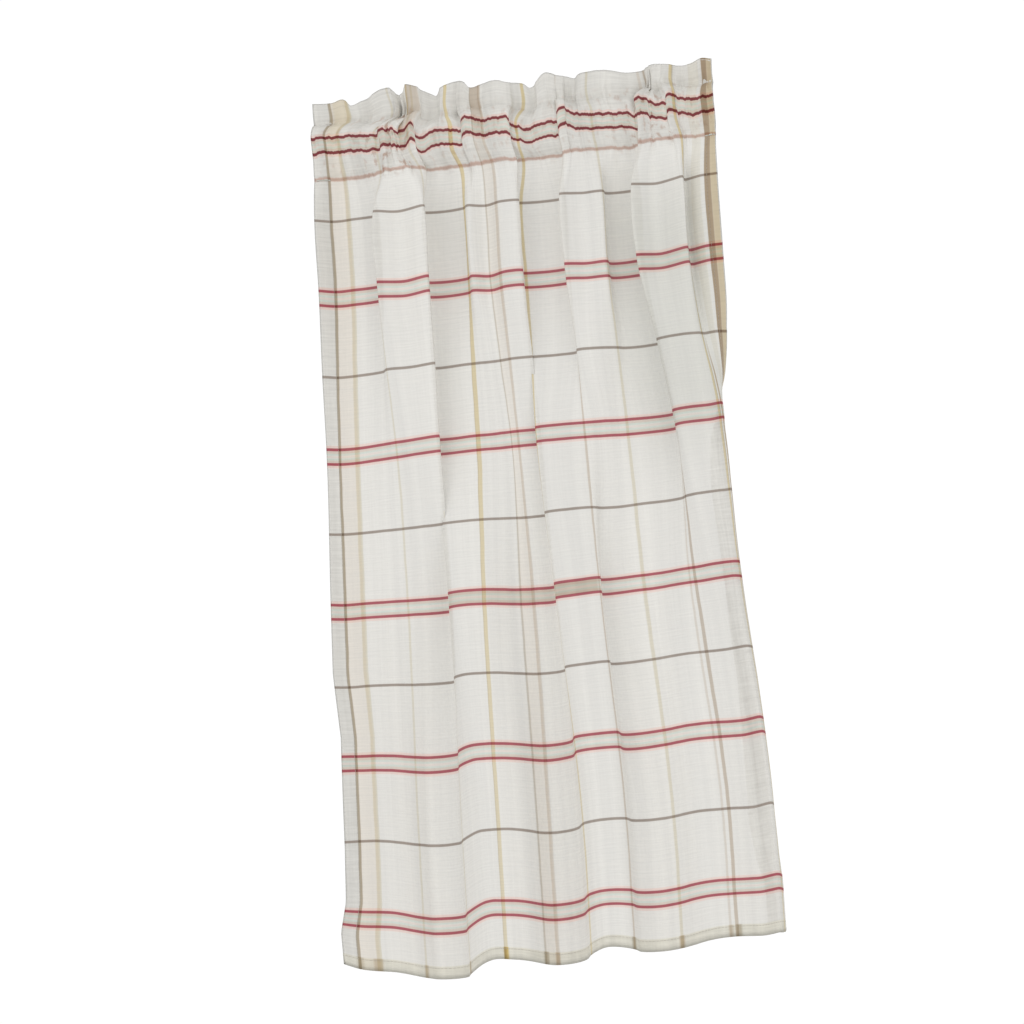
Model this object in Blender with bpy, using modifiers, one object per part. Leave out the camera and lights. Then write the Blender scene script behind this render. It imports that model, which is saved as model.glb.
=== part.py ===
"""A cafe curtain: one plaid cloth, gathered at a rod pocket with a stand-up ruffle, hanging in soft folds.

The origin is the axis of the rod that the pocket is made for, halfway along it. X runs along the rod to the
viewer's right, -Y faces the room and Z is up.
"""

import bmesh
import bpy
import numpy as np

MM = 0.001

# The cloth, laid flat
FLAT_WIDTH = 610 * MM
CLOTH_THICKNESS = 1.4 * MM

# Heights, measured from the rod's axis
RUFFLE_TOP = 44 * MM
UPPER_STITCHES = 17.5 * MM
LOWER_STITCHES = -41 * MM
HEADING_FOOT = -46.5 * MM
HEM = -872 * MM

# Heights of the level cuts below the pocket
NECK_TOP = -85 * MM
NECK_FOOT = -165 * MM
HIGH_WAIST = -245 * MM
WAIST = -330 * MM
LOW_FOLDS = -488 * MM
HEM_FOLDS = -737 * MM

# The cloth sags, where it does, from the first height down, and curls up at the hem from the second
SAG_TOP = -560 * MM
CURL_TOP = -782 * MM

# The rod pocket: how far each of its walls stands from the middle of the cloth, how that narrows downwards,
# and the heights between which the gathers run even, where the rod goes
POCKET_HALF_DEPTH = 15 * MM
POCKET_TAPER = 0.7
ROD_TOP = 8 * MM
ROD_UNDERSIDE = -20 * MM

# The heading and the panel are parted by this much, just under the lower stitches
JOIN_GAP = 0.3 * MM

# Mesh steps
PANEL_COLUMNS = 80
PANEL_ROWS = 11
HEADING_COLUMNS = 68
POCKET_ROWS_BELOW_AXIS = 5
POCKET_ROWS_ABOVE_AXIS = 3
RUFFLE_ROWS = 2

PANEL_COLOUR = (0.76, 0.73, 0.68)
HEADING_COLOUR = (0.7, 0.66, 0.6)

# Level cuts through the hanging cloth. Columns: place on the flat cloth from its left edge, place across the
# curtain, depth (minus is nearer the room), all in millimetres. Two rows close together across, but apart on
# the cloth, are the two sides of a fold.
RUFFLE_CUT = (
    (0, -213, -2),
    (17, -194, 1),
    (34, -175, 0),
    (56, -158, 5),
    (82, -133, -5),
    (112, -119, 4),
    (140, -107, -6),
    (166, -88, 5),
    (197, -71, -5),
    (228, -54, 4),
    (255, -38, -3),
    (285, -14, -5),
    (312, 8, 5),
    (345, 32, -5),
    (388, 56, 4),
    (427, 80, -4),
    (462, 112, -5),
    (490, 138, 5),
    (520, 146, -3),
    (545, 162, -4),
    (572, 180, 4),
    (610, 205, -3),
)
ROD_CUT = (
    (0, -214, -1),
    (30, -187, 3),
    (66, -159, -1),
    (90, -140, -4),
    (140, -112, 3),
    (165, -95, 4),
    (197, -67, 0),
    (250, -38, -3),
    (290, -9, -2),
    (320, 8, 4),
    (355, 38, 4),
    (385, 57, -3),
    (427, 84, -1),
    (470, 120, 3),
    (500, 136, -4),
    (545, 166, -4),
    (575, 181, 2),
    (610, 206, -2),
)
SEAM_CUT = (
    (0, -215, -6),
    (34, -182, 4),
    (66, -155, 1),
    (90, -140, -12),
    (131, -106, -14),
    (158, -94, 3),
    (196, -62, 4),
    (246, -36, 0),
    (284, -8, -4),
    (310, 4, 5),
    (354, 40, 5),
    (380, 56, -9),
    (427, 86, -4),
    (468, 120, 3),
    (498, 134, -12),
    (542, 170, -18),
    (575, 184, -14),
    (610, 206, -16),
)
NECK_CUT = (
    (0, -217, -8),
    (17, -200, 6),
    (34, -181, 6),
    (64, -150, -1),
    (84, -152, -20),
    (108, -126, -10),
    (131, -98, -24),
    (158, -104, 7),
    (196, -61, 6),
    (207, -57, -2),
    (246, -35, 5),
    (264, -20, -6),
    (284, -2, -5),
    (306, -5, 8),
    (354, 46, 7),
    (374, 44, -12),
    (397, 65, -5),
    (427, 88, -3),
    (436, 88, 6),
    (468, 125, 4),
    (492, 121, -20),
    (515, 145, -13),
    (542, 175, -31),
    (558, 174, -18),
    (592, 193, -28),
    (610, 207, -30),
)
HIGH_WAIST_CUT = (
    (0, -219, -5),
    (17, -203, 6),
    (34, -184, 7),
    (61, -157, 2),
    (84, -148, -11),
    (107, -123, -9),
    (131, -98, -16),
    (155, -105, 6),
    (197, -62, 7),
    (247, -30, 5),
    (264, -18, 1),
    (286, 1, 1),
    (307, -2, 4),
    (360, 48, 3),
    (374, 49, -6),
    (427, 92, 2),
    (436, 96, 6),
    (471, 134, 3),
    (491, 134, -16),
    (542, 180, -28),
    (556, 183, -23),
    (592, 196, -26),
    (610, 205, -22),
)
WAIST_CUT = (
    (0, -220, -2),
    (17, -206, 6),
    (34, -187, 8),
    (58, -164, 4),
    (83, -144, -2),
    (106, -120, -8),
    (131, -99, -9),
    (152, -105, 6),
    (197, -62, 7),
    (230, -34, 8),
    (264, -16, 8),
    (288, 4, 8),
    (309, 0, -1),
    (370, 52, -1),
    (427, 96, 8),
    (476, 146, 1),
    (490, 146, -12),
    (542, 189, -24),
    (556, 198, -28),
    (578, 195, -8),
    (610, 181, 19),
)
LOW_CUT = (
    (0, -223, -12),
    (17, -208, -2),
    (34, -189, 0),
    (83, -144, 9),
    (131, -100, 9),
    (147, -101, -6),
    (197, -63, -10),
    (238, -32, 11),
    (264, -12, 18),
    (299, 8, 15),
    (317, 9, 0),
    (345, 34, -7),
    (371, 58, -8),
    (387, 57, 6),
    (427, 103, 4),
    (485, 155, -10),
    (542, 200, -20),
    (556, 204, -14),
    (578, 199, 6),
    (610, 180, 30),
)
HEM_CUT = (
    (0, -225, -27),
    (17, -208, -22),
    (34, -189, -14),
    (60, -166, -2),
    (83, -149, 13),
    (96, -141, 21),
    (126, -109, 16),
    (141, -103, 3),
    (170, -79, -17),
    (199, -61, -15),
    (228, -37, 2),
    (255, -19, 26),
    (294, 14, 17),
    (313, 23, -2),
    (340, 43, -15),
    (370, 69, -7),
    (381, 72, 5),
    (403, 93, 11),
    (427, 117, 5),
    (455, 144, -11),
    (485, 173, -9),
    (512, 198, -4),
    (542, 221, -19),
    (556, 223, -6),
    (578, 219, 14),
    (610, 199, 38),
)
CUTS = (
    (HEM, HEM_CUT),
    (HEM_FOLDS, HEM_CUT),
    (LOW_FOLDS, LOW_CUT),
    (WAIST, WAIST_CUT),
    (HIGH_WAIST, HIGH_WAIST_CUT),
    (NECK_FOOT, NECK_CUT),
    (NECK_TOP, NECK_CUT),
    (LOWER_STITCHES, SEAM_CUT),
    (ROD_UNDERSIDE, ROD_CUT),
    ((ROD_TOP + ROD_UNDERSIDE) / 2, ROD_CUT),
    (ROD_TOP, ROD_CUT),
    (UPPER_STITCHES, RUFFLE_CUT),
    (RUFFLE_TOP, RUFFLE_CUT),
)

# The hem's line. Columns: place on the flat cloth, how far the hem is above a level hem.
HEM_LINE = (
    (0, 9),
    (17, 2.5),
    (48, -2),
    (79, -7.5),
    (97, -9),
    (118, -10),
    (143, -8),
    (163, -1),
    (209, 0),
    (243, -4),
    (310, -1),
    (340, 4),
    (370, 0),
    (405, -2),
    (438, 0),
    (472, 3.5),
    (540, 3),
    (575, 6),
    (610, 12),
)


def spline(knots, values, at):
    """A smooth curve through values at knots, read at each place in at."""
    knots = np.asarray(knots, float)
    values = np.asarray(values, float)
    slopes = np.gradient(values, knots, axis=0)
    i = np.clip(np.searchsorted(knots, at, side="right") - 1, 0, len(knots) - 2)
    step = (knots[i + 1] - knots[i])[:, None]
    t = (at - knots[i])[:, None] / step
    return (
        values[i] * (1 + 2 * t) * (1 - t) ** 2
        + values[i + 1] * t**2 * (3 - 2 * t)
        + slopes[i] * step * t * (1 - t) ** 2
        - slopes[i + 1] * step * t**2 * (1 - t)
    )


def cloth_middle(places, heights):
    """Across and depth of the cloth's middle, at each place on the flat cloth and height."""
    tables = [np.array(cut) * MM for _, cut in CUTS]
    levels = np.array([spline(table[:, 0], table[:, 1:], places) for table in tables])
    knots = np.array([height for height, _ in CUTS])
    slopes = np.gradient(levels, knots, axis=0)
    i = np.clip(np.searchsorted(knots, heights, side="right") - 1, 0, len(knots) - 2)
    each = np.arange(len(places))
    step = (knots[i + 1] - knots[i])[:, None]
    t = (heights - knots[i])[:, None] / step
    return (
        levels[i, each] * (1 + 2 * t) * (1 - t) ** 2
        + levels[i + 1, each] * t**2 * (3 - 2 * t)
        + slopes[i, each] * step * t * (1 - t) ** 2
        - slopes[i + 1, each] * step * t**2 * (1 - t)
    )


def hem_rise(places, heights):
    """How far the cloth is above where a level hem would put it."""
    line = np.array(HEM_LINE) * MM
    rise = spline(line[:, 0], line[:, 1:], places)[:, 0]
    start = np.where(rise < 0, SAG_TOP, CURL_TOP)
    return rise * np.clip((heights - start) / (HEM - start), 0, 1)


def pocket_half_depth(height):
    """Half the pocket's depth: a half round above the rod's axis, narrowing to the lower stitches."""
    if height >= 0:
        share = min(height / UPPER_STITCHES, 1)
        return POCKET_HALF_DEPTH * np.sqrt(1 - share**2)
    share = min(height / LOWER_STITCHES, 1)
    return POCKET_HALF_DEPTH * (1 - share) ** POCKET_TAPER


def cloth_material(name, colour):
    """A matt woven cloth."""
    material = bpy.data.materials.new(name)
    material.use_nodes = True
    shader = material.node_tree.nodes["Principled BSDF"]
    shader.inputs["Base Color"].default_value = (*colour, 1)
    shader.inputs["Roughness"].default_value = 0.9
    shader.inputs["Metallic"].default_value = 0
    return material


def cloth_grid(name, columns, rows):
    """A flat grid, with its vertices sorted row by row from the bottom, to be shaped."""
    bpy.ops.mesh.primitive_grid_add(x_subdivisions=columns, y_subdivisions=rows, size=1)
    grid = bpy.context.object
    grid.name = name
    grid.data.name = name
    return grid


def grid_shares(grid):
    """Each vertex's share of the way across and of the way up."""
    shares = np.array([(v.co.x + 0.5, v.co.y + 0.5) for v in grid.data.vertices])
    return shares[:, 0].round(6), shares[:, 1].round(6)


def move_vertices(grid, across, depth, height):
    """Puts the vertices in their places."""
    places = np.stack([across, depth, height], axis=1)
    grid.data.vertices.foreach_set("co", places.ravel())
    grid.data.update()


def thicken(piece):
    """Gives the cloth its thickness, half on each side."""
    solid = piece.modifiers.new("Thickness", "SOLIDIFY")
    solid.thickness = CLOTH_THICKNESS
    solid.offset = 0
    return solid


def make_panel(collection):
    """The hanging cloth, from the lower stitches to the hem."""
    panel = cloth_grid("panel", PANEL_COLUMNS, PANEL_ROWS)
    flat, up = grid_shares(panel)
    places = flat * FLAT_WIDTH
    heights = HEM + (HEADING_FOOT - JOIN_GAP - HEM) * up
    middle = cloth_middle(places, heights)
    move_vertices(panel, middle[:, 0], middle[:, 1], heights + hem_rise(places, heights))
    thicken(panel)
    panel.data.materials.append(cloth_material("plaid_cloth", PANEL_COLOUR))
    collection.objects.link(panel)
    return panel


def layer_points(places, heights, side):
    """A layer of the heading: side is -1 for the front layer and 1 for the back one."""
    middle = cloth_middle(places, heights)
    apart = np.array([pocket_half_depth(height) for height in heights])
    return middle[:, 0], middle[:, 1] + side * apart


def make_heading(collection):
    """The ruffle and the rod pocket: a front layer that goes on up as the ruffle, and the pocket's back layer."""
    below_axis = np.linspace(LOWER_STITCHES, 0, POCKET_ROWS_BELOW_AXIS + 1)
    turns = np.linspace(0, np.pi / 2, POCKET_ROWS_ABOVE_AXIS + 1)[1:]
    pocket = np.concatenate([below_axis, UPPER_STITCHES * np.sin(turns)])
    ruffle = np.linspace(UPPER_STITCHES, RUFFLE_TOP, RUFFLE_ROWS + 1)[1:]
    front_levels = np.concatenate([[HEADING_FOOT], pocket, ruffle])
    front = cloth_grid("heading", HEADING_COLUMNS, len(front_levels) - 1)
    back = cloth_grid("heading_back", HEADING_COLUMNS, len(pocket) - 1)
    for layer, levels, side in ((front, front_levels, -1), (back, pocket, 1)):
        flat, up = grid_shares(layer)
        places = flat * FLAT_WIDTH
        heights = np.interp(up, np.linspace(0, 1, len(levels)), levels)
        across, depth = layer_points(places, heights, side)
        move_vertices(layer, across, depth, heights)

    # The two layers share their vertices along both rows of stitches.
    shape = bmesh.new()
    shape.from_mesh(front.data)
    shape.from_mesh(back.data)
    bmesh.ops.remove_doubles(shape, verts=shape.verts, dist=0.01 * MM)
    shape.to_mesh(front.data)
    shape.free()
    bpy.data.objects.remove(back)
    solid = thicken(front)
    solid.solidify_mode = "NON_MANIFOLD"
    solid.nonmanifold_merge_threshold = 0.01 * MM
    front.data.materials.append(cloth_material("heading_cloth", HEADING_COLOUR))
    collection.objects.link(front)
    return front


def main():
    for old in list(bpy.data.objects):
        bpy.data.objects.remove(old)
    curtain = bpy.data.collections.new("cafe_curtain")
    bpy.context.scene.collection.children.link(curtain)
    for piece in (make_heading(curtain), make_panel(curtain)):
        for other in piece.users_collection:
            if other is not curtain:
                other.objects.unlink(piece)
        piece.data.shade_smooth()


main()
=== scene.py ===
import math

import bpy
import numpy as np
from mathutils import Matrix, Vector


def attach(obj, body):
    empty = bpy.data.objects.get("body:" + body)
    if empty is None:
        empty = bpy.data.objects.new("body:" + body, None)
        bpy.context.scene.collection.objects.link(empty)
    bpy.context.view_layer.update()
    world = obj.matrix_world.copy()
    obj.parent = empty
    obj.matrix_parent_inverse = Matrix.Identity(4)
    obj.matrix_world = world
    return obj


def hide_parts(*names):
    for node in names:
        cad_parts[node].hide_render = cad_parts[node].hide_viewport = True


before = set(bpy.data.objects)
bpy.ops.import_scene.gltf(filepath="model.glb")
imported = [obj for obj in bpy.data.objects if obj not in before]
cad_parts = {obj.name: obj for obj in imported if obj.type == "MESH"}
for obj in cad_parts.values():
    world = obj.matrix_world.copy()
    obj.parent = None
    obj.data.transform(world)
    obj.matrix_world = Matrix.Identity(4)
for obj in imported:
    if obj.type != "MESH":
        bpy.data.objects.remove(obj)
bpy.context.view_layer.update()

MM = 0.001

# The cloth, laid flat
FLAT_WIDTH = 610 * MM
SIDE_HEM = 16 * MM
BOTTOM_HEM = 13 * MM
TURN_UNDER = 8 * MM
# Cloth taken by the ruffle, from its stitches to its top, and by the pocket's back, with its puckers
RUFFLE_CLOTH = 28.6 * MM
POCKET_BACK_CLOTH = 77.5 * MM

# Heights, measured from the rod's axis
RUFFLE_TOP = 44 * MM
UPPER_STITCHES = 17.5 * MM
LOWER_STITCHES = -41 * MM
HEADING_EDGE = -42.5 * MM
HEM = -872 * MM

# Flat lengths: from the hem's fold up the front to the ruffle's top, then on to the heading's edge at the
# back, and of the whole cut cloth
FRONT_LENGTH = UPPER_STITCHES - HEM + RUFFLE_CLOTH
BACK_EDGE = FRONT_LENGTH + RUFFLE_CLOTH + POCKET_BACK_CLOTH

# Heights of the level cuts below the ruffle
ROD_TOP = 8 * MM
ROD_UNDERSIDE = -20 * MM
NECK_TOP = -85 * MM
NECK_FOOT = -165 * MM
HIGH_WAIST = -245 * MM
WAIST = -330 * MM
LOW_FOLDS = -488 * MM
HEM_FOLDS = -737 * MM

# The cloth sags, where it does, from the first height down, and curls up at the hem from the second
SAG_TOP = -560 * MM
CURL_TOP = -782 * MM

# The hem is pulled up at one corner, at the right-hand fold: its place on the flat cloth, how far it rises,
# how wide it is, and how soon it is lost up the cloth
HEM_CORNER = 567 * MM
CORNER_RISE = 4.5 * MM
CORNER_WIDTH = 10 * MM
CORNER_HEIGHT = 9 * MM

# The rod pocket, as in the solids
POCKET_HALF_DEPTH = 15 * MM
POCKET_TAPER = 0.7

# Layers of cloth that are sewn together lie this far apart
LAYER_GAP = 0.9 * MM

# Level cuts through the hanging cloth. Columns: place on the flat cloth from its left edge, place across
# the curtain, depth (minus is nearer the room), all in millimetres. Two rows close together across, but
# apart on the cloth, are the two sides of a fold.
RUFFLE_CUT = (
    (0, -213, -2),
    (17, -194, 1),
    (34, -175, 0),
    (56, -158, 5),
    (82, -133, -5),
    (112, -119, 4),
    (140, -107, -6),
    (166, -88, 5),
    (197, -71, -5),
    (228, -54, 4),
    (255, -38, -3),
    (285, -14, -5),
    (312, 8, 5),
    (345, 32, -5),
    (388, 56, 4),
    (427, 80, -4),
    (462, 112, -5),
    (490, 138, 5),
    (520, 146, -3),
    (545, 162, -4),
    (572, 180, 4),
    (610, 205, -3),
)
ROD_CUT = (
    (0, -214, -1),
    (30, -187, 3),
    (66, -159, -1),
    (90, -140, -4),
    (140, -112, 3),
    (165, -95, 4),
    (197, -67, 0),
    (250, -38, -3),
    (290, -9, -2),
    (320, 8, 4),
    (355, 38, 4),
    (385, 57, -3),
    (427, 84, -1),
    (470, 120, 3),
    (500, 136, -4),
    (545, 166, -4),
    (575, 181, 2),
    (610, 206, -2),
)
SEAM_CUT = (
    (0, -215, -6),
    (34, -182, 4),
    (66, -155, 1),
    (90, -140, -12),
    (131, -106, -14),
    (158, -94, 3),
    (196, -62, 4),
    (246, -36, 0),
    (284, -8, -4),
    (310, 4, 5),
    (354, 40, 5),
    (380, 56, -9),
    (427, 86, -4),
    (468, 120, 3),
    (498, 134, -12),
    (542, 170, -18),
    (575, 184, -14),
    (610, 206, -16),
)
NECK_CUT = (
    (0, -217, -8),
    (17, -200, 6),
    (34, -181, 6),
    (64, -150, -1),
    (84, -152, -20),
    (108, -126, -10),
    (131, -98, -24),
    (158, -104, 7),
    (196, -61, 6),
    (207, -57, -2),
    (246, -35, 5),
    (264, -20, -6),
    (284, -2, -5),
    (306, -5, 8),
    (354, 46, 7),
    (374, 44, -12),
    (397, 65, -5),
    (427, 88, -3),
    (436, 88, 6),
    (468, 125, 4),
    (492, 121, -20),
    (515, 145, -13),
    (542, 175, -31),
    (558, 174, -18),
    (592, 193, -28),
    (610, 207, -30),
)
HIGH_WAIST_CUT = (
    (0, -219, -5),
    (17, -203, 6),
    (34, -184, 7),
    (61, -157, 2),
    (84, -148, -11),
    (107, -123, -9),
    (131, -98, -16),
    (155, -105, 6),
    (197, -62, 7),
    (247, -30, 5),
    (264, -18, 1),
    (286, 1, 1),
    (307, -2, 4),
    (360, 48, 3),
    (374, 49, -6),
    (427, 92, 2),
    (436, 96, 6),
    (471, 134, 3),
    (491, 134, -16),
    (542, 180, -28),
    (556, 183, -23),
    (592, 196, -26),
    (610, 205, -22),
)
WAIST_CUT = (
    (0, -220, -2),
    (17, -206, 6),
    (34, -187, 8),
    (58, -164, 4),
    (83, -144, -2),
    (106, -120, -8),
    (131, -99, -9),
    (152, -105, 6),
    (197, -62, 7),
    (230, -34, 8),
    (264, -16, 8),
    (288, 4, 8),
    (309, 0, -1),
    (370, 52, -1),
    (427, 96, 8),
    (476, 146, 1),
    (490, 146, -12),
    (542, 189, -24),
    (556, 198, -28),
    (578, 195, -8),
    (610, 181, 19),
)
LOW_CUT = (
    (0, -223, -12),
    (17, -208, -2),
    (34, -189, 0),
    (83, -144, 9),
    (131, -100, 9),
    (147, -101, -6),
    (197, -63, -10),
    (238, -32, 11),
    (264, -12, 18),
    (299, 8, 15),
    (317, 9, 0),
    (345, 34, -7),
    (371, 58, -8),
    (387, 57, 6),
    (427, 103, 4),
    (485, 155, -10),
    (542, 200, -20),
    (556, 204, -14),
    (578, 199, 6),
    (610, 180, 30),
)
HEM_CUT = (
    (0, -225, -27),
    (17, -208, -22),
    (34, -189, -14),
    (60, -166, -2),
    (83, -149, 13),
    (96, -141, 21),
    (126, -109, 16),
    (141, -103, 3),
    (170, -79, -17),
    (199, -61, -15),
    (228, -37, 2),
    (255, -19, 26),
    (294, 14, 17),
    (313, 23, -2),
    (340, 43, -15),
    (370, 69, -7),
    (381, 72, 5),
    (403, 93, 11),
    (427, 117, 5),
    (455, 144, -11),
    (485, 173, -9),
    (512, 198, -4),
    (542, 221, -19),
    (556, 223, -6),
    (578, 219, 14),
    (610, 199, 38),
)
CUTS = (
    (HEM, HEM_CUT),
    (HEM_FOLDS, HEM_CUT),
    (LOW_FOLDS, LOW_CUT),
    (WAIST, WAIST_CUT),
    (HIGH_WAIST, HIGH_WAIST_CUT),
    (NECK_FOOT, NECK_CUT),
    (NECK_TOP, NECK_CUT),
    (LOWER_STITCHES, SEAM_CUT),
    (ROD_UNDERSIDE, ROD_CUT),
    ((ROD_TOP + ROD_UNDERSIDE) / 2, ROD_CUT),
    (ROD_TOP, ROD_CUT),
    (UPPER_STITCHES, RUFFLE_CUT),
    (RUFFLE_TOP, RUFFLE_CUT),
)

# The hem's line. Columns: place on the flat cloth, how far the hem is above a level hem.
HEM_LINE = (
    (0, 9),
    (17, 2.5),
    (48, -2),
    (79, -7.5),
    (97, -9),
    (118, -10),
    (143, -8),
    (163, -1),
    (209, 0),
    (243, -4),
    (310, -1),
    (340, 4),
    (370, 0),
    (405, -2),
    (438, 0),
    (472, 3.5),
    (540, 3),
    (575, 6),
    (610, 12),
)

# The ruffle's top edge. Columns: place on the flat cloth, how far the edge is below the ruffle's usual top.
SCALLOPS = (
    (0, 2.5),
    (18, 3),
    (31, 2),
    (35, 7.5),
    (41, 7),
    (47, 4.5),
    (60, 0.5),
    (73, -5),
    (87, -4.5),
    (100, 1),
    (112, 1),
    (120, -5),
    (147, -3.2),
    (158, 0.5),
    (168, 4.5),
    (175, 7),
    (182, 2.4),
    (196, -1),
    (217, -5.5),
    (232, -4.5),
    (240, 2),
    (247, 3.4),
    (260, 2.2),
    (284, 0),
    (291, 2),
    (309, 2.7),
    (315, 4),
    (322, 9.5),
    (328, 9),
    (336, 5),
    (346, -1.5),
    (368, 0),
    (390, 2),
    (405, 5),
    (412, 2.3),
    (427, 1.2),
    (453, 2.8),
    (467, 6.2),
    (480, 5.5),
    (489, 3.4),
    (510, 1.3),
    (530, 1.1),
    (553, 3.5),
    (566, 4.3),
    (579, 2.2),
    (592, -1),
    (610, 2),
)

# How far the gathers pull the weft down along the rod pocket. Columns: place on the flat cloth, drop.
GATHER_SAG = (
    (0, 0),
    (24, 0),
    (50, 1),
    (77, 4),
    (85, 4.5),
    (89, 2),
    (110, 0),
    (126, 3),
    (134, 0),
    (149, -3),
    (153, 4.5),
    (178, 5),
    (200, 7),
    (215, 8),
    (220, 2),
    (259, 2),
    (296, 3),
    (302, 7),
    (313, 10),
    (327, 15),
    (341, 10.5),
    (353, 8.5),
    (365, 8),
    (370, 1.5),
    (399, 5.5),
    (427, 7.5),
    (467, 8.5),
    (487, 9.5),
    (491, 1.5),
    (514, 2),
    (535, 3),
    (539, -1.5),
    (559, 0),
    (580, 1.5),
    (610, 1),
)
# How much of that sag is left at other heights. Columns: height, share.
SAG_SHARES = ((-90, 0), (-55, -0.05), (-41, -0.05), (-14, 0.85), (2, 1), (14, 0.75), (24, 0.3), (44, 0))

# How far the cloth below the pocket hangs under its even height. Columns: height, drop.
DROPS = (
    (-872, 0),
    (-810, 1.5),
    (-650, 2.5),
    (-575, 3),
    (-485, 5),
    (-410, 4),
    (-330, 3),
    (-250, 0.5),
    (-165, -1.5),
    (-87, -3),
    (-41, 0),
    (44, 0),
)
# The share of that drop that is left at the right-hand edge
DROP_AT_RIGHT = 0.4

# How far the side edges wander out of the even line of the folds. Columns: height, shift to the right.
LEFT_WANDER = ((-872, -3), (-835, -4), (-800, 3), (-743, 5), (-628, 6), (-560, 0), (44, 0))
RIGHT_WANDER = (
    (-872, 0),
    (-815, -1),
    (-788, -8),
    (-746, -13),
    (-684, -10),
    (-600, -3),
    (-500, 0),
    (-400, -3),
    (-349, -1),
    (-330, 4),
    (-290, 8),
    (-244, 4),
    (-181, 5),
    (44, 5),
)
WANDER_WIDTH = 45 * MM
# How far the pocket's back layer stops short of the front one at the right-hand end
BACK_TUCK = 4.5 * MM
BACK_TUCK_WIDTH = WANDER_WIDTH / 2

# Pleats pinched in by the stitches. Columns: place on the flat cloth, how far one side laps over the other,
# depth of the step there (plus where the left side is nearer the room).
PLEATS = (
    (62, 1.5, -2),
    (87, 3.0, -3.5),
    (98, 2.2, 2.5),
    (107, 2.6, -3),
    (117, 2.0, 2.5),
    (126, 2.8, 3),
    (151, 3.6, 4.5),
    (183, 1.6, -2),
    (218, 3.4, -4),
    (262, 1.8, 2),
    (299, 3.2, 4),
    (332, 2.0, -2.5),
    (367, 3.8, -4.5),
    (384, 2.2, 2.5),
    (405, 1.6, -2),
    (448, 1.5, 2),
    (489, 4.0, -4.5),
    (512, 2.2, 2.5),
    (537, 3.6, -4),
    (556, 1.6, 2),
)
PLEAT_HALF_WIDTH = 3.2 * MM
# A pleat's shift fades out within about this many half widths.
PLEAT_FADE = 4
# How deep the pleats are at each height. Columns: height, share.
PLEAT_SHARES = ((-110, 0), (-75, 0.3), (-41, 0.9), (-15, 0.7), (5, 0.85), (17.5, 1), (30, 0.7), (44, 0.5))

# Stripes along the length, dyed in the warp. Columns: centre on the flat cloth, width, dye, strength.
WARP_STRIPES = (
    (24, 17, "blush", 0.8),
    (15.4, 2.8, "bark", 0.95),
    (31.8, 4.4, "straw", 0.85),
    (80.5, 2.4, "straw", 0.7),
    (139, 2.6, "straw", 0.7),
    (197.5, 5.0, "gold", 0.8),
    (195.2, 1.2, "bark", 0.3),
    (250, 16, "blush", 0.55),
    (242, 2.4, "bark", 0.5),
    (257.5, 4.4, "umber", 0.75),
    (312.5, 3.6, "gold", 0.8),
    (369, 2.6, "umber", 0.95),
    (425, 3.4, "straw", 0.8),
    (479.5, 2.4, "umber", 0.6),
    (486.0, 3.6, "oak", 0.65),
    (550.5, 3.4, "gold", 0.8),
    (552.5, 1.6, "bark", 0.5),
    (580, 14, "straw", 0.35),
    (596.5, 8, "walnut", 1.0),
    (604.5, 8, "tan", 1.0),
)

# Stripes across the width, dyed in the weft, which repeat up the cloth. Columns: height above the middle of
# the two red lines, width, dye, strength. These sizes and the ones that follow, down to the yarns, are in
# millimetres of flat cloth, unless they say otherwise.
WEFT_REPEAT = 162.4
# How far each red line is from the middle of the two
RED_OFF = 7.5
WEFT_STRIPES = (
    (RED_OFF, 8.0, "halo", 1.0),
    (-RED_OFF, 8.0, "halo", 1.0),
    (RED_OFF, 3.0, "crimson", 1.0),
    (-RED_OFF, 3.0, "crimson", 1.0),
    (3.6, 4.4, "sage", 0.7),
    (-3.6, 4.4, "sage", 0.7),
    (0, 2.2, "rose", 0.7),
)
# The single dark line between the pairs, and the share of it that is lost on the heading's back
SINGLE_LINE_WIDTH = 2.8
SINGLE_LINE_SOFT = 0.5
SINGLE_LINE_LOST = 0.4
BACK_BLEND = 6
# Height of the middle of the red lines nearest the rod
RED_LINES = -5.9 * MM

# Warp stripes that show more strongly in the gathered ruffle: their dyes bunched up there, with painted
# shade of its narrow pleats. The same columns as before.
RUFFLE_STRIPES_AND_SHADE = (
    (25.5, 15, "straw", 0.75),
    (138, 20, "oak", 0.6),
    (130, 5, "gold", 0.6),
    (250, 16, "oak", 0.6),
    (600, 18, "oak", 0.25),
)
RUFFLE_STRIPES_SOFT = 2.0
# They come in from this far below the upper stitches to this far above them.
RUFFLE_STRIPES_BELOW = 40
RUFFLE_STRIPES_ABOVE = 4
# Dark marks on the folded hem, where the stripes cross it. Columns: centre, width, dye, strength.
HEM_MARKS = (
    (16, 6, "bark", 0.5),
    (31, 8, "oak", 0.55),
    (81, 5, "oak", 0.6),
    (139, 5, "oak", 0.7),
    (197.5, 7, "gold", 0.9),
    (196, 4, "bark", 0.6),
    (243, 6, "bark", 0.75),
    (257, 6, "oak", 0.6),
    (369, 6, "bark", 0.75),
    (425, 6, "oak", 0.75),
    (480, 5, "oak", 0.5),
    (488, 6, "bark", 0.75),
)
HEM_MARKS_SOFT = 1.5
# The folded hem itself is creamier than the cloth above it.
HEM_SOFT = 0.8
HEM_CREAM = 0.8
# The right-hand fold's outer edge shows a brown line, from the first height down to the second. It comes in
# over the first length above its top, and goes out over the second, above its foot.
EDGE_LINE = (557, 3.6, "oak", 0.9)
EDGE_LINE_TOP = -300 * MM
EDGE_LINE_FOOT = -840 * MM
EDGE_LINE_FADES = (60, 350)
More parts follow.
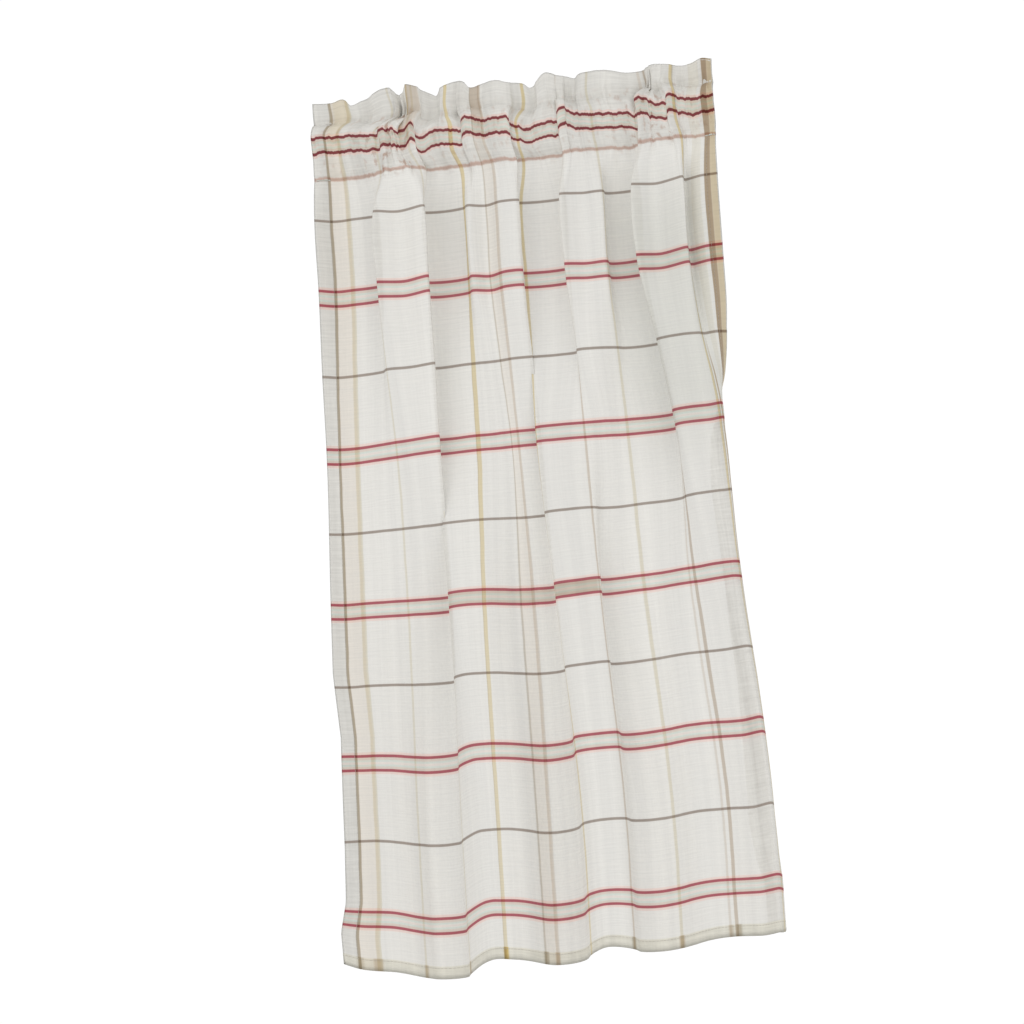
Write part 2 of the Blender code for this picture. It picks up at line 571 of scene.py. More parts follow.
# The fill between one pair of red lines is browner over these two stretches. Columns: left end, right end,
# strength. The pair is the third below the rod.
BROWN_FILLS = ((151, 367, 0.45), (299, 367, 0.6))
BROWN_PAIR = -493.1 * MM
BROWN_FILL_WIDTH = 13
BROWN_FILL_SOFT = 3.0
# A faint painted shade over the upper right, which darkens the cloth there: centre and width on the flat
# cloth, then height and depth, and how softly it ends across the cloth and up it
UPPER_RIGHT_SHADE = (515, 150, -225, 250)
UPPER_RIGHT_SHADE_SOFT = (40.0, 60.0)
# The red line of the turned-down layer shows through the front layer at the heading's edge.
MAUVE_LINE = (-40.5, 3.8, "mauve", 0.85)
MAUVE_LINE_SOFT = 1.2

# The gathers reach this far past the rows of stitches, and jog the weft lines.
GATHER_FADE = 12
WEFT_JOG = 6
WEFT_JOG_SLUBS = (130, 9)
# Small brown painted shadows in the gathers: their noise, which levels of it show, and how strongly
GATHER_SHADE_SLUBS = (150, 95, 3.0)
GATHER_SHADE_LIMITS = (0.02, 0.2)
GATHER_SHADE = 0.8
# How strong the shadows are all along the rod, and where they crowd. Columns: centre, width, soft edge,
# strength.
CROWD_ALL_ALONG = 0.45
CROWDS = ((105, 60, 15.0, 1.0), (500, 80, 25.0, 0.6))
# The painted shade in the gathers dulls the red lines there, and the pair's fill too.
DULLED_RED_WIDTH = 3.4
DULLED_RED = 0.85
DULLED_PAIR_WIDTH = 12
DULLED_PAIR = 0.3

# Yarns. Columns: how many slubs there are to a metre across the cloth and up it, their detail, their
# strength.
WEAVE = ((45, 560, 2.0, 0.3), (16, 330, 1.0, 0.26), (520, 24, 2.0, 0.14))
STREAKS = ((85, 1.6, 2.0, 1.0), (28, 1.1, 2.0, 0.8))
# How far the yarns of the two ways wander from a straight line, and how many times to a metre
WARP_WANDER = 1.6
WEFT_WANDER = 1.4
YARN_WANDER_SCALE = 26.0
# How much the weave and the streaks change the colour, and how far the weave stands out
WEAVE_SHADE = 0.38
STREAK_SHADE = 0.26
WEAVE_BUMP = 0.35
WEAVE_HEIGHT = 0.4 * MM
CLOTH_ROUGHNESS = 0.92
CLOTH_SHINE = 0.15
THREAD_COLOUR = (0.5, 0.46, 0.4)
THREAD_ROUGHNESS = 0.8

# What each dye, and each painted shade, multiplies the undyed cloth's colour by
DYES_AND_SHADES = {
    "blush": (0.985, 0.935, 0.88),
    "straw": (0.86, 0.815, 0.69),
    "gold": (0.84, 0.70, 0.38),
    "umber": (0.80, 0.73, 0.66),
    "oak": (0.60, 0.49, 0.38),
    "bark": (0.54, 0.48, 0.39),
    "walnut": (0.55, 0.44, 0.33),
    "tan": (0.81, 0.71, 0.54),
    "ink": (0.46, 0.40, 0.37),
    # Painted shade over the upper right
    "shade_grey": (0.89, 0.90, 0.885),
    "crimson": (0.50, 0.16, 0.21),
    "halo": (1.05, 0.86, 0.83),
    "cream": (1.0, 0.985, 0.90),
    # Painted shade in the gathers
    "pucker_shade": (0.66, 0.52, 0.46),
    "rose": (0.98, 0.88, 0.84),
    "sage": (0.78, 0.89, 0.84),
    "mauve": (0.72, 0.50, 0.44),
}
UNDYED = (0.75, 0.735, 0.693)
# The share of the cloth's area that its yarns cover, how much the weave, the streaks, the darker dyes
# and the painted shades change it, and its limits
COVER = 0.9
WEAVE_COVER = 0.4
STREAK_COVER = 0.12
TINT_COVER = 0.3
LEAST_COVER = 0.25
MOST_COVER = 0.98
# The gold stripes pale down the cloth, to this share at the hem.
GOLD_AT_HEM = 0.7

# Puckers along the rows of stitches. They are waves of these lengths in millimetres, the longest the
# deepest, and each drifts along the rod by up to so many radians for each step up the cloth.
PUCKER_LENGTHS = (7.7, 9.6, 12.5, 16.0, 22.0)
PUCKER_SEED = 5
PUCKER_DRIFT = 1.5
DRIFT_STEP = 12 * MM
PUCKER_DEPTH = 1.0 * MM
PUCKER_RISE = 0.5 * MM
# How deep they are all along the rod, and where they crowd together. Columns: centre, width.
PUCKERS_ALL_ALONG = 0.55
CROWDED_PLACES = ((108, 30), (520, 45))
# How far they reach from each row of stitches, and how deep they are, against those at the upper row
UPPER_PUCKER_REACH = 12 * MM
LOWER_PUCKER_REACH = 11 * MM
LOWER_PUCKERS = 0.6
RUFFLE_PUCKERS = 0.45
POCKET_PUCKERS = 0.25
PUCKER_FOOT = -60 * MM

# Half the gap between the ruffle's two layers, halfway up it
RUFFLE_GAPE = 1.5 * MM

# A turned edge parts from the cloth that it lies on over this much of its width
FOLD_WIDTH = 2 * MM
# The cloth's direction is taken between two places this far on either side
DIRECTION_REACH = 1 * MM

# Mesh steps, and how many mesh lines each turned edge has
COLUMN_STEP = 2.6 * MM
PLEAT_STEP = 1.2 * MM
PLEAT_REACH = 8 * MM
PANEL_STEP = 7 * MM
HEADING_STEP = 2 * MM
FINE_BELOW_STITCHES = 50 * MM
SIDE_HEM_LINES = 9
BOTTOM_HEM_LINES = 7
TURN_UNDER_LINES = 5
# Places across the cloth where the spacing of the mesh lines is worked out
SPACING_PLACES = 6101

# Sewing thread: a stitch, a stitch and the gap after it, and how far inside a turned edge a row runs
STITCH = 2.6 * MM
STITCH_PITCH = 3.6 * MM
THREAD_RADIUS = 0.16 * MM
STITCH_INSET = 2 * MM


def span(knots, at):
    """For each place in at: the knot before it, the step to the next knot, and the share of it passed."""
    i = np.clip(np.searchsorted(knots, at, side="right") - 1, 0, len(knots) - 2)
    step = (knots[i + 1] - knots[i])[:, None]
    return i, step, (at - knots[i])[:, None] / step


def curve_between(first, last, first_slope, last_slope, step, t):
    """A smooth curve from first to last, with these slopes at its ends, at the share t of its step."""
    return (
        first * (1 + 2 * t) * (1 - t) ** 2
        + last * t**2 * (3 - 2 * t)
        + first_slope * step * t * (1 - t) ** 2
        - last_slope * step * t**2 * (1 - t)
    )


def spline(table, at):
    """A smooth curve through a table in millimetres, by its first column, read in metres at each place."""
    rows = np.array(table) * MM
    knots = rows[:, 0]
    values = rows[:, 1:]
    slopes = np.gradient(values, knots, axis=0)
    i, step, t = span(knots, at)
    return curve_between(values[i], values[i + 1], slopes[i], slopes[i + 1], step, t)


def read(table, at):
    """The smooth curve through a table of two columns."""
    return spline(table, at)[:, 0]


def share(table, at):
    """The share that a table gives, between its rows, at a height."""
    knots = np.array(table)
    return np.interp(at / MM, knots[:, 0], knots[:, 1])


def hump(value, centre, width):
    """1 at the centre, falling smoothly to nearly nothing two widths away."""
    return np.exp(-(((value - centre) / width) ** 2))


def cloth_middle(places, heights):
    """Across and depth of the cloth's middle, at each place on the flat cloth and height."""
    levels = np.array([spline(cut, places) for _, cut in CUTS])
    knots = np.array([height for height, _ in CUTS])
    slopes = np.gradient(levels, knots, axis=0)
    i, step, t = span(knots, heights)
    each = np.arange(len(places))
    return curve_between(
        levels[i, each], levels[i + 1, each], slopes[i, each], slopes[i + 1, each], step, t
    )


def hem_rise(places, heights):
    """How far the cloth is above where a level hem would put it."""
    rise = read(HEM_LINE, places)
    start = np.where(rise < 0, SAG_TOP, CURL_TOP)
    return rise * np.clip((heights - start) / (HEM - start), 0, 1)


def pocket_half_depth(heights):
    """Half the pocket's depth: a half round above the rod's axis, narrowing to the lower stitches."""
    above = np.clip(heights / UPPER_STITCHES, 0, 1)
    below = np.clip(heights / LOWER_STITCHES, 0, 1)
    return POCKET_HALF_DEPTH * np.where(heights >= 0, np.sqrt(1 - above**2), (1 - below) ** POCKET_TAPER)


def puckers(places, heights):
    """Small gathers around the rows of stitches: how far they push the cloth back, and up."""
    rng = np.random.default_rng(PUCKER_SEED)
    wave = np.zeros_like(places)
    for length in PUCKER_LENGTHS:
        phase = rng.uniform(0, 2 * math.pi)
        drift = rng.uniform(-PUCKER_DRIFT, PUCKER_DRIFT)
        angle = 2 * math.pi * places / (length * MM) + phase + drift * heights / DRIFT_STEP
        wave += length / PUCKER_LENGTHS[-1] * np.sin(angle)
    crowded = PUCKERS_ALL_ALONG
    for centre, width in CROWDED_PLACES:
        crowded = crowded + hump(places / MM, centre, width)
    near = hump(heights, UPPER_STITCHES, UPPER_PUCKER_REACH)
    near += LOWER_PUCKERS * hump(heights, LOWER_STITCHES, LOWER_PUCKER_REACH)
    near += np.where(heights > UPPER_STITCHES, RUFFLE_PUCKERS, POCKET_PUCKERS * (heights > PUCKER_FOOT))
    back = PUCKER_DEPTH * wave * crowded * near
    # A point rises as its neighbour to the left goes back, so the rise is a little out of step.
    rise = PUCKER_RISE * np.roll(wave, 1) * crowded * share(SAG_SHARES, heights)
    return back, rise


def pleat_shift(places, heights):
    """How far the pleats move the cloth along the rod and back."""
    shift = np.zeros((len(places), 2))
    for place, lap, step in PLEATS:
        off = (places - place * MM) / PLEAT_HALF_WIDTH
        turn = np.tanh(off) * hump(off, 0, PLEAT_FADE)
        shift[:, 0] -= lap * MM * turn
        shift[:, 1] += step * MM / 2 * turn
    return shift * share(PLEAT_SHARES, heights)[:, None]


def layer(places, heights, side):
    """Points of the front layer, with side -1, or of the heading's back layer, with side 1."""
    middle = cloth_middle(places, heights) + pleat_shift(places, heights)
    middle[:, 0] += share(LEFT_WANDER, heights) * MM * hump(places, 0, WANDER_WIDTH)
    middle[:, 0] += share(RIGHT_WANDER, heights) * MM * hump(places, FLAT_WIDTH, WANDER_WIDTH)
    ruffle = np.clip((heights - UPPER_STITCHES) / (RUFFLE_TOP - UPPER_STITCHES), 0, 1)
    apart = pocket_half_depth(heights) + RUFFLE_GAPE * np.sin(math.pi * ruffle)
    apart = np.maximum(apart, LAYER_GAP / 2)
    if side > 0:
        tuck = BACK_TUCK * apart / POCKET_HALF_DEPTH
        middle[:, 0] -= tuck * hump(places, FLAT_WIDTH, BACK_TUCK_WIDTH)
    back, rise = puckers(places, heights)
    depth = middle[:, 1] + side * apart + back
    drop = read(DROPS, heights) * (1 - (1 - DROP_AT_RIGHT) * places / FLAT_WIDTH)
    drop += read(GATHER_SAG, places) * share(SAG_SHARES, heights)
    rise = rise - drop + hem_rise(places, heights)
    corner = np.exp(-(((places - HEM_CORNER) / CORNER_WIDTH) ** 2) - (heights - HEM) / CORNER_HEIGHT)
    rise += CORNER_RISE * np.where(heights < CURL_TOP, corner, 0)
    scallop = ruffle * read(SCALLOPS, places)
    return np.stack([middle[:, 0], depth, heights + rise - scallop], axis=1)


def cloth_points(along, up):
    """Points of the whole cloth at flat coordinates: along the width and up from the hem's fold, over the
    ruffle's top and down its back. The side hems and the bottom hem are turned to the back."""
    places = np.where(along < 0, -along, np.where(along > FLAT_WIDTH, 2 * FLAT_WIDTH - along, along))
    from_fold = np.abs(up)
    # How far from the hem's fold each turn of the cloth is, and the height it is at
    turns = (
        (0, HEM),
        (UPPER_STITCHES - HEM, UPPER_STITCHES),
        (FRONT_LENGTH, RUFFLE_TOP),
        (FRONT_LENGTH + RUFFLE_CLOTH, UPPER_STITCHES),
        (BACK_EDGE, HEADING_EDGE),
        (BACK_EDGE + TURN_UNDER, HEADING_EDGE + TURN_UNDER),
    )
    heights = np.interp(from_fold, *zip(*turns))
    over = up > FRONT_LENGTH
    points = np.where(over[:, None], layer(places, heights, 1), layer(places, heights, -1))

    # The cloth's back side, for what is turned over to it
    ahead = layer(np.clip(places + DIRECTION_REACH, 0, FLAT_WIDTH), heights, -1)
    behind = layer(np.clip(places - DIRECTION_REACH, 0, FLAT_WIDTH), heights, -1)
    run = (ahead - behind)[:, :2]
    run /= np.linalg.norm(run, axis=1)[:, None]
    backward = np.stack([-run[:, 1], run[:, 0]], axis=1)
    past_side = np.abs(along - np.clip(along, 0, FLAT_WIDTH))
    offset = LAYER_GAP * np.clip(past_side / FOLD_WIDTH, 0, 1) * np.where(over, -1, 1)
    offset += LAYER_GAP * np.where(up < 0, np.clip(from_fold / FOLD_WIDTH, 0, 1), 0)
    offset -= LAYER_GAP / 2 * np.clip((up - BACK_EDGE) / FOLD_WIDTH, 0, 1)
    points[:, :2] += backward * offset[:, None]
    return points


def column_lines():
    """Where the mesh lines stand along the width, closer together at the pleats."""
    fine = np.linspace(0, FLAT_WIDTH, SPACING_PLACES)
    near = np.zeros(len(fine), bool)
    for place, _, _ in PLEATS:
        near |= np.abs(fine - place * MM) < PLEAT_REACH
    density = np.where(near, 1 / PLEAT_STEP, 1 / COLUMN_STEP)
    count = np.concatenate([[0], np.cumsum((density[1:] + density[:-1]) / 2 * np.diff(fine))])
    inside = np.interp(np.linspace(0, count[-1], round(count[-1]) + 1), count, fine)
    turned = np.linspace(-SIDE_HEM, 0, SIDE_HEM_LINES)[:-1]
    return np.concatenate([turned, inside, FLAT_WIDTH - turned[::-1]])


def row_lines():
    """Where the mesh lines stand up the length, closer together in the heading."""
    fine_foot = LOWER_STITCHES - HEM - FINE_BELOW_STITCHES
    parts = [np.linspace(-BOTTOM_HEM, 0, BOTTOM_HEM_LINES)[:-1]]
    for start, end, step in (
        (0, fine_foot, PANEL_STEP),
        (fine_foot, FRONT_LENGTH, HEADING_STEP),
        (FRONT_LENGTH, BACK_EDGE, HEADING_STEP),
    ):
        parts.append(np.linspace(start, end, round((end - start) / step), endpoint=False))
    parts.append(np.linspace(BACK_EDGE, BACK_EDGE + TURN_UNDER, TURN_UNDER_LINES))
    return np.concatenate(parts)


def make_cloth():
    """The curtain's one cloth, with its side hems, its bottom hem and its turned-down heading."""
    along = column_lines()
    up = row_lines()
    bpy.ops.object.select_all(action="DESELECT")
    bpy.ops.mesh.primitive_grid_add(x_subdivisions=len(along) - 1, y_subdivisions=len(up) - 1, size=1)
    cloth = bpy.context.object
    cloth.name = "curtain_cloth"
    mesh = cloth.data
    # The new grid is 1 m square about its centre, so a vertex's own place gives its column and row.
    flat = np.array([v.co for v in mesh.vertices])
    column = np.rint((flat[:, 0] + 0.5) * (len(along) - 1)).astype(int)
    row = np.rint((flat[:, 1] + 0.5) * (len(up) - 1)).astype(int)
    mesh.vertices.foreach_set("co", cloth_points(along[column], up[row]).ravel())
    corner = np.empty(len(mesh.loops), int)
    mesh.loops.foreach_get("vertex_index", corner)
    flat_map = mesh.uv_layers[0]
    flat_map.name = "Flat"
    flat_map.data.foreach_set("uv", np.stack([along[column], up[row]], axis=1)[corner].ravel())
    mesh.update()
    mesh.shade_smooth()
    return cloth


def stitch_row(start, end):
    """Flat places of each stitch's two ends along a straight row between two flat points."""
    start = np.array(start)
    run = np.array(end) - start
    length = np.linalg.norm(run)
    ways = np.arange(int(length / STITCH_PITCH))[:, None] * STITCH_PITCH / length
    first = start + run * ways
    return first, first + run / length * STITCH


def make_stitches():
    """The rows of stitches that close the pocket and hold the hems, as seen from the room."""
    left = STITCH_INSET
    right = FLAT_WIDTH - STITCH_INSET
    upper = UPPER_STITCHES - HEM
    lower = LOWER_STITCHES - HEM
    bottom = BOTTOM_HEM - STITCH_INSET
    left_hem = SIDE_HEM - STITCH_INSET
    right_hem = FLAT_WIDTH - SIDE_HEM + STITCH_INSET
    rows = (
        ((left, upper), (right, upper)),
        ((left, lower), (right, lower)),
        ((left, bottom), (right, bottom)),
        ((left_hem, BOTTOM_HEM), (left_hem, lower)),
        ((right_hem, BOTTOM_HEM), (right_hem, lower)),
    )
    curve = bpy.data.curves.new("stitches", "CURVE")
    curve.dimensions = "3D"
    curve.bevel_depth = THREAD_RADIUS
    curve.bevel_resolution = 0
    curve.use_fill_caps = True
    for start, end in rows:
        first, last = stitch_row(start, end)
        half = (first + last) / 2
        spots = [cloth_points(flat[:, 0], flat[:, 1]) for flat in (first, half, last)]
        for points in zip(*spots):
            thread = curve.splines.new("POLY")
            thread.points.add(2)
            for point, place in zip(thread.points, points):
                point.co = (*(place - np.array([0, THREAD_RADIUS, 0])), 1)
    stitches = bpy.data.objects.new("stitches", curve)
    bpy.context.scene.collection.objects.link(stitches)
    bpy.ops.object.select_all(action="DESELECT")
    stitches.select_set(True)
    bpy.context.view_layer.objects.active = stitches
    bpy.ops.object.convert(target="MESH")
    return bpy.context.object


class Sum:
    """A number or colour in a shader, so that its maths is written as Python expressions."""

    def __init__(self, tree, socket):
        self.tree = tree
        self.socket = socket

    def math(self, operation, *others):
        values = dict(enumerate((self, *others)))
        return self.tree.node("Math", {"operation": operation}, values)

    def __add__(self, other):
        return self.math("ADD", other)

    def __radd__(self, other):
        return self.math("ADD", other)

    def __sub__(self, other):
        return self.math("SUBTRACT", other)

    def __rsub__(self, other):
        return self.math("MULTIPLY", -1).math("ADD", other)

    def __mul__(self, other):
        return self.math("MULTIPLY", other)

    def __rmul__(self, other):
        return self.math("MULTIPLY", other)

    def __abs__(self):
        return self.math("ABSOLUTE")


class Finish:
    """A material's node tree, and the ways to add to it."""

    def __init__(self, name):
        self.material = bpy.data.materials.new(name)
        self.material.use_nodes = True
        self.tree = self.material.node_tree
        self.shader = self.tree.nodes["Principled BSDF"]

    def node(self, kind, settings, values, output=0):
        """Adds a node: its type, its settings, its inputs' values or links, and which output to read."""
        new = self.tree.nodes.new("ShaderNode" + kind)
        for name, value in settings.items():
            setattr(new, name, value)
        for name, value in values.items():
            self.put(new.inputs[name], value)
        return Sum(self, new.outputs[output])

    def put(self, socket, value):
        """Links a Sum to a socket, or sets a plain value on it."""
        if isinstance(value, Sum):
            self.tree.links.new(value.socket, socket)
        else:
            socket.default_value = value

    def multiply(self, factor, first, second):
        """A colour multiplied by another, as far as the factor says."""
        settings = {"data_type": "RGBA", "blend_type": "MULTIPLY"}
        # A Mix node's colour inputs are 6 and 7, and its colour output is 2.
        return self.node("Mix", settings, {0: factor, 6: first, 7: second}, output=2)

    def between(self, value, low, high):
        """0 at low, 1 at high, easing in between."""
        settings = {"interpolation_type": "SMOOTHSTEP"}
        return self.node("MapRange", settings, {"Value": value, "From Min": low, "From Max": high})

    def stripe(self, place, centre, width, soft=0.5):
        """1 inside a stripe and 0 outside it, with soft edges. Sizes in millimetres."""
        return self.between(abs(place - centre), width / 2 + soft, width / 2 - soft)

    def slubs(self, flat, across, up, detail=2.0):
        """Thick and thin places in the yarn, about 0, so many to a metre across the cloth and up it."""
        settings = {"operation": "MULTIPLY"}
        stretched = self.node("VectorMath", settings, {0: flat, 1: (across, up, 1)})
        return self.node("TexNoise", {}, {"Vector": stretched, "Scale": 1.0, "Detail": detail}) - 0.5

    def yarns(self, flat, table):
        """Slubs of several sorts, added up. Columns of the table: across, up, detail, strength."""
        total = 0
        for across, up, detail, strength in table:
            total = total + self.slubs(flat, across, up, detail) * strength
        return total


def colour(rgb):
    return (*rgb, 1)


def up_cloth(height):
    """How far up the flat cloth a height on the hanging curtain is, in millimetres."""
    return (height - HEM) / MM


def warp_masks(finish, across, length):
    """The stripes along the length: pairs of where a dye is, and its name."""
    stitches = up_cloth(UPPER_STITCHES)
    gold_left = finish.between(length, 0, stitches) * (1 - GOLD_AT_HEM) + GOLD_AT_HEM
    in_ruffle = finish.between(length, stitches - RUFFLE_STRIPES_BELOW, stitches + RUFFLE_STRIPES_ABOVE)
    in_hem = finish.stripe(length, 0, 2 * BOTTOM_HEM / MM, HEM_SOFT)
    masks = []
    for centre, width, tint, strength in WARP_STRIPES:
        mask = finish.stripe(across, centre, width) * strength
        masks.append((mask * gold_left if tint == "gold" else mask, tint))
    # Stripes in the ruffle, widened and darkened by painted shade of its pleats
    for centre, width, tint, strength in RUFFLE_STRIPES_AND_SHADE:
        mask = finish.stripe(across, centre, width, RUFFLE_STRIPES_SOFT) * in_ruffle
        masks.append((mask * strength, tint))
    for centre, width, tint, strength in HEM_MARKS:
        mask = finish.stripe(across, centre, width, HEM_MARKS_SOFT) * in_hem
        masks.append((mask * strength, tint))
    masks.append((in_hem * HEM_CREAM, "cream"))
    centre, width, tint, strength = EDGE_LINE
    top = up_cloth(EDGE_LINE_TOP)
    foot = up_cloth(EDGE_LINE_FOOT)
    shown = finish.between(length, top + EDGE_LINE_FADES[0], top)
    shown = shown * finish.between(length, foot, foot + EDGE_LINE_FADES[1])
    masks.append((finish.stripe(across, centre, width) * shown * strength, tint))
    return masks


def gather_masks(finish, flat, across, repeat, gathered):
    """Small brown shadows painted in the gathers, which dull the red lines there too."""
    crowd = CROWD_ALL_ALONG
    for centre, width, soft, strength in CROWDS:
        crowd = crowd + finish.stripe(across, centre, width, soft) * strength
    # Specks of painted shade in the puckers
    knots = finish.between(finish.slubs(flat, *GATHER_SHADE_SLUBS), *GATHER_SHADE_LIMITS)
    reds = finish.stripe(abs(repeat), RED_OFF, DULLED_RED_WIDTH)
    pair = finish.stripe(repeat, 0, DULLED_PAIR_WIDTH)
    return [
        (knots * gathered * crowd * GATHER_SHADE, "pucker_shade"),
        (reds * gathered * DULLED_RED, "ink"),
        (pair * gathered * crowd * DULLED_PAIR, "umber"),
    ]


def weft_masks(finish, across, length, repeat):
    """The stripes across the width, and what shades them."""
    # A painted shade darkens the upper right of the cloth.
    patch_centre, patch_width, patch_height, patch_depth = UPPER_RIGHT_SHADE
    shade_patch = finish.stripe(across, patch_centre, patch_width, UPPER_RIGHT_SHADE_SOFT[0])
    shade_patch = shade_patch * finish.stripe(length, patch_height - HEM / MM, patch_depth, UPPER_RIGHT_SHADE_SOFT[1])
    masks = [(shade_patch, "shade_grey")]
    for centre, width, tint, strength in WEFT_STRIPES:
        masks.append((finish.stripe(repeat, centre, width) * strength, tint))
    # The single dark line is halfway between two pairs, at both ends of the repeat.
    edge = (WEFT_REPEAT - SINGLE_LINE_WIDTH) / 2
    ruffle_top = FRONT_LENGTH / MM
    at_back = finish.between(length, ruffle_top, ruffle_top + BACK_BLEND)
    line = finish.between(abs(repeat), edge - SINGLE_LINE_SOFT, edge + SINGLE_LINE_SOFT)
    masks.append((line * (1 - at_back * SINGLE_LINE_LOST), "ink"))
    height, width, tint, strength = MAUVE_LINE
    masks.append((finish.stripe(length, height - HEM / MM, width, MAUVE_LINE_SOFT) * strength, tint))
    return masks


def brown_masks(finish, across, length):
    """The browner fill of one pair of red lines."""
    fill = finish.stripe(length, up_cloth(BROWN_PAIR), BROWN_FILL_WIDTH)
    masks = []
    for left, right, strength in BROWN_FILLS:
        wide = finish.stripe(across, (left + right) / 2, right - left, BROWN_FILL_SOFT)
        masks.append((wide * fill * strength, "umber"))
    return masks


def cloth_finish():
    """The slubbed semi-sheer plaid, drawn in the cloth's own flat map."""
    finish = Finish("plaid_cloth")
    flat = finish.node("UVMap", {"uv_map": "Flat"}, {})
    noise = {"Vector": flat, "Scale": YARN_WANDER_SCALE, "Detail": 2.0}
    wander = finish.node("TexNoise", {}, noise) - 0.5
    across = finish.node("SeparateXYZ", {}, {"Vector": flat}, output=0) * (1 / MM) + wander * WARP_WANDER
    length = finish.node("SeparateXYZ", {}, {"Vector": flat}, output=1) * (1 / MM) + wander * WEFT_WANDER

    lower = up_cloth(LOWER_STITCHES)
    upper = up_cloth(UPPER_STITCHES)
    gathered = finish.between(length, lower - GATHER_FADE, lower + GATHER_FADE / 2)
    gathered = gathered * finish.between(length, upper + GATHER_FADE, upper)
    length = length + finish.slubs(flat, *WEFT_JOG_SLUBS) * gathered * WEFT_JOG
    up = length - up_cloth(RED_LINES) + WEFT_REPEAT / 2
    repeat = up.math("FLOORED_MODULO", WEFT_REPEAT) - WEFT_REPEAT / 2
    weave = finish.yarns(flat, WEAVE)
    streaks = finish.yarns(flat, STREAKS)

    paint = colour(UNDYED)
    tinted = 0
    for mask, tint in (
        *warp_masks(finish, across, length),
        *brown_masks(finish, across, length),
        *gather_masks(finish, flat, across, repeat, gathered),
        *weft_masks(finish, across, length, repeat),
    ):
        paint = finish.multiply(mask, paint, colour(DYES_AND_SHADES[tint]))
        tinted = tinted + mask * (1 - sum(DYES_AND_SHADES[tint]) / 3)
    shade = 1 + weave * WEAVE_SHADE + streaks * STREAK_SHADE
    paint = finish.multiply(1.0, paint, finish.node("CombineColor", {}, {0: shade, 1: shade, 2: shade}))

    cover = COVER + weave * WEAVE_COVER + streaks * STREAK_COVER + tinted * TINT_COVER
    cover = cover.math("MINIMUM", MOST_COVER).math("MAXIMUM", LEAST_COVER)
    finish.put(finish.shader.inputs["Base Color"], paint)
    finish.put(finish.shader.inputs["Alpha"], cover)
    relief = {"Height": weave, "Strength": WEAVE_BUMP, "Distance": WEAVE_HEIGHT}
    finish.put(finish.shader.inputs["Normal"], finish.node("Bump", {}, relief))
    finish.shader.inputs["Roughness"].default_value = CLOTH_ROUGHNESS
    finish.shader.inputs["Specular IOR Level"].default_value = CLOTH_SHINE
    return finish.material


def plain_finish(name, rgb, roughness):
    """One colour all over, for the thread and the floor."""
    finish = Finish(name)
    finish.shader.inputs["Base Color"].default_value = colour(rgb)
    finish.shader.inputs["Roughness"].default_value = roughness
    return finish.material


# Studio: the light that the cloth gets from all round, and how bright the air behind looks to the camera
ROOM_LIGHT = 0.85
BACKDROP = 1.03
WHITE = (1, 1, 1, 1)
# Soft lamps. Columns: name, place, size across, power.
LAMPS = (
    ("key", (-1.3, -2.4, 0.2), 2.6, 10),
    ("fill", (2.2, -2.6, -0.2), 2.6, 10),
    ("back", (0.6, 2.8, 0.6), 2.0, 26),
)
LAMPS_AIM = (0, 0, -0.42)
FLOOR_SIZE = 16
FLOOR_HEIGHT = -2.3
FLOOR_COLOUR = (0.86, 0.86, 0.86)
FLOOR_ROUGHNESS = 0.9


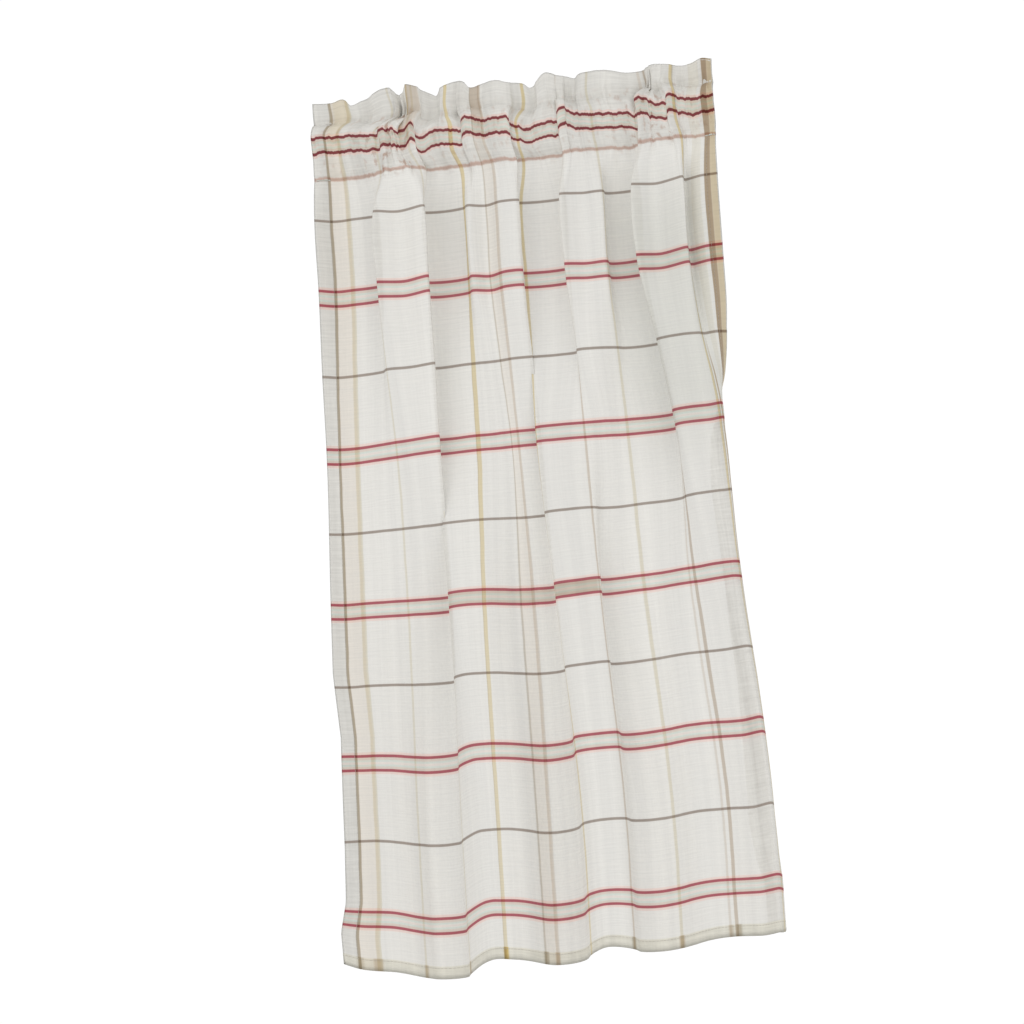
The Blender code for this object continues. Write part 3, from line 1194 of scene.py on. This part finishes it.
def make_stage():
    """A pale floor, white air behind, and soft studio lamps."""
    bpy.ops.object.select_all(action="DESELECT")
    bpy.ops.mesh.primitive_plane_add(size=FLOOR_SIZE, location=(0, 0, FLOOR_HEIGHT))
    floor = bpy.context.object
    floor.name = "floor"
    floor.data.materials.append(plain_finish("floor_paint", FLOOR_COLOUR, FLOOR_ROUGHNESS))

    world = bpy.data.worlds.new("studio")
    world.use_nodes = True
    bpy.context.scene.world = world
    tree = world.node_tree
    lit = tree.nodes["Background"]
    lit.inputs["Color"].default_value = WHITE
    lit.inputs["Strength"].default_value = ROOM_LIGHT
    seen = tree.nodes.new("ShaderNodeBackground")
    seen.inputs["Color"].default_value = WHITE
    seen.inputs["Strength"].default_value = BACKDROP
    path = tree.nodes.new("ShaderNodeLightPath")
    choose = tree.nodes.new("ShaderNodeMixShader")
    tree.links.new(path.outputs["Is Camera Ray"], choose.inputs[0])
    tree.links.new(lit.outputs[0], choose.inputs[1])
    tree.links.new(seen.outputs[0], choose.inputs[2])
    tree.links.new(choose.outputs[0], tree.nodes["World Output"].inputs["Surface"])

    for name, place, size, power in LAMPS:
        lamp = bpy.data.lights.new(name, "AREA")
        lamp.shape = "DISK"
        lamp.size = size
        lamp.energy = power
        holder = bpy.data.objects.new(name, lamp)
        bpy.context.scene.collection.objects.link(holder)
        holder.location = place
        aim = Vector(LAMPS_AIM) - Vector(place)
        holder.rotation_euler = aim.to_track_quat("-Z", "Y").to_euler()


# The photograph's view: from a little below and to the right, a long way off, with the picture rolled
VIEW_AZIMUTH = 10.6
VIEW_ELEVATION = -11.0
VIEW_ROLL = -3.7
VIEW_DISTANCE = 7.0
VIEW_CENTRE = (0, 0, -0.43)
VIEW_END = 100
# Where that centre falls in the photograph, and how many of its pixels a metre takes there
CENTRE_PIXEL = (542, 528)
PIXELS_PER_METRE = 977
PHOTO_PIXELS = 1024
SENSOR_WIDTH = 36


def make_camera():
    """The camera, at the photograph's view."""
    azimuth = math.radians(VIEW_AZIMUTH)
    elevation = math.radians(VIEW_ELEVATION)
    roll = math.radians(VIEW_ROLL)
    level = math.cos(elevation)
    back = Vector((math.sin(azimuth) * level, -math.cos(azimuth) * level, math.sin(elevation)))
    flat_right = Vector((math.cos(azimuth), math.sin(azimuth), 0))
    flat_up = back.cross(flat_right)
    right = flat_right * math.cos(roll) + flat_up * math.sin(roll)
    up = flat_up * math.cos(roll) - flat_right * math.sin(roll)
    half = PHOTO_PIXELS / 2
    aim = Vector(VIEW_CENTRE)
    aim += right * ((half - CENTRE_PIXEL[0]) / PIXELS_PER_METRE)
    aim -= up * ((half - CENTRE_PIXEL[1]) / PIXELS_PER_METRE)
    data = bpy.data.cameras.new("camera")
    data.sensor_width = SENSOR_WIDTH
    data.lens = PIXELS_PER_METRE * VIEW_DISTANCE * SENSOR_WIDTH / PHOTO_PIXELS
    data.clip_end = VIEW_END
    camera = bpy.data.objects.new("camera", data)
    bpy.context.scene.collection.objects.link(camera)
    turn = Matrix((right, up, back)).transposed().to_4x4()
    turn.translation = aim + back * VIEW_DISTANCE
    camera.matrix_world = turn
    bpy.context.scene.camera = camera


make_camera()
make_stage()
cloth = make_cloth()
cloth.data.materials.append(cloth_finish())
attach(cloth, "root")
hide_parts("panel", "heading")
stitches = make_stitches()
stitches.data.materials.append(plain_finish("thread", THREAD_COLOUR, THREAD_ROUGHNESS))
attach(stitches, "root")
bpy.context.scene.view_settings.view_transform = "Standard"
